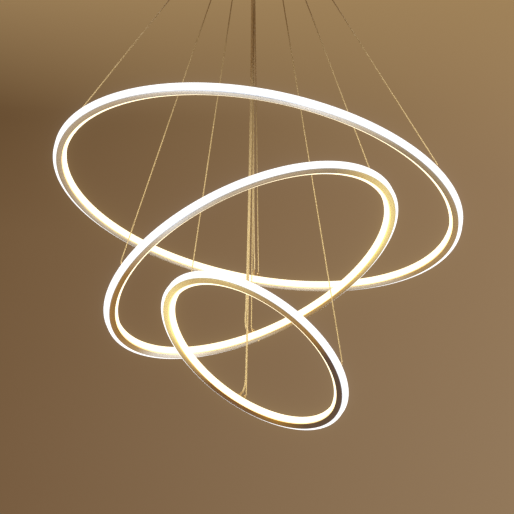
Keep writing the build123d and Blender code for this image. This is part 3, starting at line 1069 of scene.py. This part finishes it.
def make_grippers():
    """Cable grippers with their threads and sprung release sleeves."""
    metal = FINISHES["gripper_metal"]
    bore = 2.6
    body = lathe("gripper", in_mm(
        (0, 8), (2.78, 8, 0.3), (2.78, 0), (4.75, 0, 0.2), (4.75, -1.5, 0.4), (4.25, -1.9, 0.1),
        (4.25, -10.4, 0.1), (4.6, -10.8, 0.2), (4.6, -12, 0.5), (3.9, -13.4, 0.3), (3.9, -16, 0.5),
        (bore, -16, 0.2), (bore, -7), (0, -7)), steps=40)
    body = ridged(body, metal, count=30, radius=4.35, height=-6.15, block=(0.6, 0.5, 8.2))
    body = threaded(body, metal, STUB_LENGTH)
    places = gripper_places()
    mesh = placed("grippers", body, metal, [Matrix.Translation(place) for place in places.values()])
    add_piece("gripper_bodies", mesh, "root", "gripper_metal", "grippers")
    for (ring, bearing), place in places.items():
        sleeve = lathe("sleeve", in_mm(
            (1.25, -20, 0.2), (2.5, -20, 0.35), (2.5, -18.7, 0.25), (2.1, -18.4, 0.1), (2.1, -17.3, 0.1),
            (2.5, -17, 0.1), (2.5, -10, 0.2), (1.25, -10)), steps=32)
        name = f"{ring}_{bearing}"
        sleeve = moved(sleeve, Matrix.Translation(place))
        add_piece(f"sleeve_{name}", sleeve, f"release_{name}", "gripper_metal", f"release_sleeve_{name}")


def hexagon_nut():
    outline = in_mm((3.5, 0), (5.0, 0), (5.5, 0.3), (5.5, 2.7), (5.0, 3), (3.5, 3))
    return lathe("nut", outline, steps=6, sharp=20)


def make_cord_grips():
    """Screwed grips with ribbed caps and domed noses."""
    moulding = FINISHES["gland_plastic"]
    body = lathe("cord_grip", in_mm(
        (0, 8), (2.78, 8, 0.3), (2.78, 0), (5.5, 0, 0.3), (5.5, -2.6, 0.4), (4.9, -3, 0.1), (4.9, -10.6, 0.3),
        (4.2, -12, 0.6), (3, -12, 0.1), (3, -17.6, 1.0), (2.1, -20, 0.2), (0, -20)), steps=40)
    body = ridged(body, moulding, count=14, radius=4.95, height=-6.9, block=(0.9, 0.9, 7.2))
    body = threaded(body, moulding, STUB_LENGTH)
    mesh = placed("cord_grips", body, moulding, [Matrix.Translation(place) for place in cord_grip_places()])
    add_piece("cord_grip_bodies", mesh, "root", "gland_plastic", "cord_grips")


def make_nuts():
    up = Vector((0, 0, CANOPY_WALL))
    for name, places, slot in (("gripper_nuts", gripper_places().values(), "gripper_metal"),
                               ("cord_grip_nuts", cord_grip_places(), "gland_plastic")):
        seats = [Matrix.Translation(place + up) for place in places]
        mesh = placed(name, hexagon_nut(), FINISHES[slot], seats)
        add_piece(f"{name}_inside", mesh, "root", slot, name)


def make_strap():
    """Pressed strap with rounded bends, its slots, tapped ends and the two ceiling screws."""
    half, thick = STRAP_LENGTH / 2, STRAP_THICKNESS
    inside = half - thick
    bend = STRAP_BEND + thick
    bar = prism("strap", rounded([
        (-half, 0, bend), (half, 0, bend), (half, -STRAP_TAB, 0), (inside, -STRAP_TAB, 0),
        (inside, -thick, STRAP_BEND), (-inside, -thick, STRAP_BEND),
        (-inside, -STRAP_TAB, 0), (-half, -STRAP_TAB, 0),
    ], steps=5), -STRAP_WIDTH / 2, STRAP_WIDTH / 2)
    bar = moved(bar, Matrix.Rotation(pi / 2, 4, "X"))
    long, wide = SLOT_LENGTH / 2, SLOT_WIDTH / 2
    corners = ((-long, -wide), (long, -wide), (long, wide), (-long, wide))
    slot = rounded([(x, y, wide) for x, y in corners], steps=8)
    middles = [Matrix.Translation((side * SLOT_SPACING / 2, 0, 0)) for side in (-1, 1)]
    drills = [moved(prism("slot", slot, -2 * thick, thick), middle) for middle in middles]
    drills.append(side_screw_drill(half + MM, steps=24))
    add_piece("strap_plate", drilled(bar, drills, bevel=0.2 * MM), "root", "strap_steel", "ceiling_strap")

    screw = lathe("ceiling_screw", in_mm(
        (0, -0.1), (2.1, -0.1), (2.1, -2), (4.6, -2, 0.1), (4.6, -2.6, 0.1), (3.8, -2.6), (3.7, -3.6, 0.5),
        (2.4, -4.9, 1.5), (0.6, -5), (0.6, -3.9), (0, -3.9)), steps=32)
    mesh = placed("screws", screw, FINISHES["gripper_metal"], middles)
    add_piece("ceiling_screws", mesh, "root", "gripper_metal")


def make_side_screws():
    """Knurled screws through the canopy's wall."""
    metal = FINISHES["gripper_metal"]
    inner, face = STRAP_LENGTH / 2 / MM - 4, CANOPY_RADIUS / MM + 0.1
    screw = lathe("side_screw", in_mm(
        (0, inner), (1.8, inner, 0.3), (1.8, face), (4.1, face, 0.2), (4.1, face + 2.6, 0.3),
        (3.2, face + 3, 0.3), (1.2, face + 2.7), (0, face + 2.7)), steps=40)
    screw = ridged(screw, metal, count=32, radius=4.15, height=face + 1.35, block=(0.6, 0.42, 2.2))
    low = Matrix.Translation((0, 0, -SIDE_SCREW_DEPTH))
    sides = [low @ Matrix.Rotation(turn, 4, "Y") for turn in (-pi / 2, pi / 2)]
    mesh = placed("side_screws", screw, metal, sides)
    add_piece("side_screw_pair", mesh, "root", "gripper_metal", "side_screws")


def slotted_screw(radius, height):
    """Small cheese-head screw with a slot across it, its underside at the origin, sizes in millimetres."""
    head = lathe("screw", in_mm((0, -0.8), (radius, -0.8), (radius, height, 0.2), (0, height)), steps=20)
    size = (3 * radius * MM, 0.35 * radius * MM, 0.7 * height * MM)
    return drilled(head, [bevelled_box("slot", size, (0, 0, height * MM), bevel=0.02 * MM, steps=1)])


def make_drivers():
    """Moulded driver boxes: a tray, a lid over a shadow line, corner screws and a bush at each end."""
    long, wide, tall = DRIVER_SIZE
    bush_reach, shadow_line, tray_height = 2 * MM, 0.6 * MM, 12 * MM
    lid_height = tall - tray_height - shadow_line
    case_bevel, neck_bevel, screw_inset = 1.4 * MM, 0.4 * MM, 4 * MM
    case_long = long - 2 * bush_reach
    bush = lathe("bush", in_mm((0, -30), (2.6, -30, 0.5), (2.6, 30, 0.5), (0, 30)), steps=24)
    along = Matrix.Translation((0, 0, tray_height / 2)) @ Matrix.Rotation(pi / 2, 4, "Y")
    neck_size = (case_long - bush_reach, wide - bush_reach, tray_height)
    box = joined(
        "driver",
        bevelled_box("tray", (case_long, wide, tray_height), (0, 0, tray_height / 2), case_bevel),
        bevelled_box("neck", neck_size, (0, 0, tray_height), neck_bevel),
        bevelled_box("lid", (case_long, wide, lid_height), (0, 0, tall - lid_height / 2), case_bevel),
        moved(bush, along),
    )
    bearing = (WIRE_BEARINGS["left"] + WIRE_BEARINGS["right"]) / 2
    seat = Matrix.Translation((DRIVER_START + long / 2, 0, CANOPY_FLOOR + CANOPY_WALL))
    across, aside = case_long / 2 - screw_inset, wide / 2 - screw_inset
    corners = [(x, y, tall - 0.5 * MM) for x in (-across, across) for y in (-aside, aside)]
    screws = []
    for ring in RINGS:
        place = Matrix.Rotation(bearing + DRIVER_TURNS[ring.name], 4, "Z") @ seat
        name = f"{ring.name}_driver"
        add_piece(f"{name}_case", moved(box.copy(), place), "root", "driver_case", name)
        screws += [place @ Matrix.Translation(corner) for corner in corners]
    mesh = placed("lid_screws", slotted_screw(radius=1.5, height=0.5), FINISHES["gripper_metal"], screws)
    add_piece("driver_lid_screws", mesh, "root", "gripper_metal")


def make_terminal_block():
    """Nylon block of three poles, with the clamp screws of each."""
    long, wide, tall = TERMINAL_SIZE
    top = -STRAP_THICKNESS
    pitch, gap = long / 3, 1.6 * MM
    base, step = 4 * MM, 0.4 * MM
    pole_tall = tall - step
    poles = [-pitch, 0, pitch]
    parts = [bevelled_box("base", (long, wide, base), (0, 0, top - base / 2), 0.6 * MM)]
    size = (pitch - gap, wide, pole_tall)
    parts += [bevelled_box("pole", size, (x, 0, top - step - pole_tall / 2), 1.0 * MM) for x in poles]
    add_piece("terminal_poles", joined("poles", *parts), "root", "terminal_nylon", "terminal_block")
    down = Matrix.Rotation(pi, 4, "X")
    places = [(x, y, top - pole_tall) for x in poles for y in (-wide / 4, wide / 4)]
    screws = [Matrix.Translation(place) @ down for place in places]
    mesh = placed("clamp_screws", slotted_screw(radius=2.0, height=0.4), FINISHES["gripper_metal"], screws)
    add_piece("terminal_clamp_screws", mesh, "root", "gripper_metal")


# ------------------------ making


def make_finishes():
    warm_white = (1.0, 0.84, 0.54, 1.0)
    cool_white = (0.93, 0.96, 1.0, 1.0)
    return {
        "outer_opal": opal("outer_opal_lit", cool_white, linear(225, 230, 240), 1.15),
        "inner_opal": opal("inner_opal_lit", warm_white, linear(255, 214, 140), 1.8),
        "flexible_board": flexible_board(),
        "phosphor": phosphor(),
        "wire_steel": stranded_wire("gilt_wire", linear(252, 236, 184), linear(122, 97, 60), WIRE_LAY,
                                    WIRE_STRANDS, metallic=0.3, roughness=0.5),
        "cord_sheath": stranded_wire("clear_sheath", linear(252, 238, 190), linear(132, 106, 66), CORD_LAY,
                                     CORD_CORES, roughness=0.45),
        "knob_metal": turned_metal("knob_gilt", linear(240, 222, 180), linear(200, 172, 116), 0.3),
        "gland_plastic": speckled("gland_moulding", linear(214, 190, 140), linear(198, 170, 118), 90.0, 0.45),
        "canopy_paint": speckled("canopy_powder_coat", linear(232, 228, 219), linear(226, 221, 211), 30.0,
                                 0.42, grain=0.16),
        "strap_steel": zinc_plate(),
        "gripper_metal": turned_metal("bright_nickel", linear(226, 222, 214), linear(190, 184, 172), 0.2),
        "driver_case": speckled("driver_moulding", linear(236, 236, 233), linear(226, 226, 222), 40.0, 0.5,
                                grain=0.2),
        "terminal_nylon": speckled("terminal_nylon", linear(230, 230, 220), linear(216, 216, 202), 50.0, 0.4),
    }


def make_all():
    """Wires and cords first, then the rings, then the canopy and what is in it."""
    for ring in RINGS:
        for bearing in WIRE_BEARINGS:
            make_wire(ring, bearing)
        make_cord(ring)
    for ring in RINGS:
        make_ring(ring)
        make_anchors(ring)
        make_gland(ring)
    make_seam_screw(RINGS[1])
    make_canopy()
    make_grippers()
    make_cord_grips()
    make_nuts()
    make_strap()
    make_side_screws()
    make_drivers()
    make_terminal_block()


def make_world():
    """Plain warm surround: a gradient towards the ceiling, a little lighter on the right."""
    world = bpy.data.worlds.new("studio_surround")
    world.use_nodes = True
    scene.world = world
    surround = Shading(world.node_tree)
    where = surround.node("ShaderNodeTexCoord")["Generated"]
    split = surround.node("ShaderNodeSeparateXYZ", None, where)
    drift = surround.node("ShaderNodeMapRange", None, split["X"], -SURROUND_DRIFT, SURROUND_DRIFT)["Result"]
    sides = [surround.node("ShaderNodeValToRGB", {"stops": stops}, split["Z"])["Color"]
             for stops in SURROUNDS]
    mixed = surround.blend(drift, *sides)
    world.node_tree.links.new(mixed.socket, world.node_tree.nodes["Background"].inputs["Color"])


def make_bloom():
    """The faint halo that bright bars leave in a lens."""
    scene.use_nodes = True
    tree = scene.node_tree
    tree.nodes.clear()
    layers, clean, glare, out = (
        tree.nodes.new(f"CompositorNode{kind}") for kind in ("RLayers", "Denoise", "Glare", "Composite"))
    glare.glare_type = "BLOOM"
    glare.quality = "HIGH"
    for label, number in BLOOM.items():
        glare.inputs[label].default_value = number
    for before, after in ((layers, clean), (clean, glare), (glare, out)):
        tree.links.new(before.outputs["Image"], after.inputs["Image"])


FINISHES = make_finishes()
make_camera()
make_all()
make_studio()
make_world()
make_bloom()
scene.view_settings.view_transform = "Standard"
scene.view_settings.look = "None"
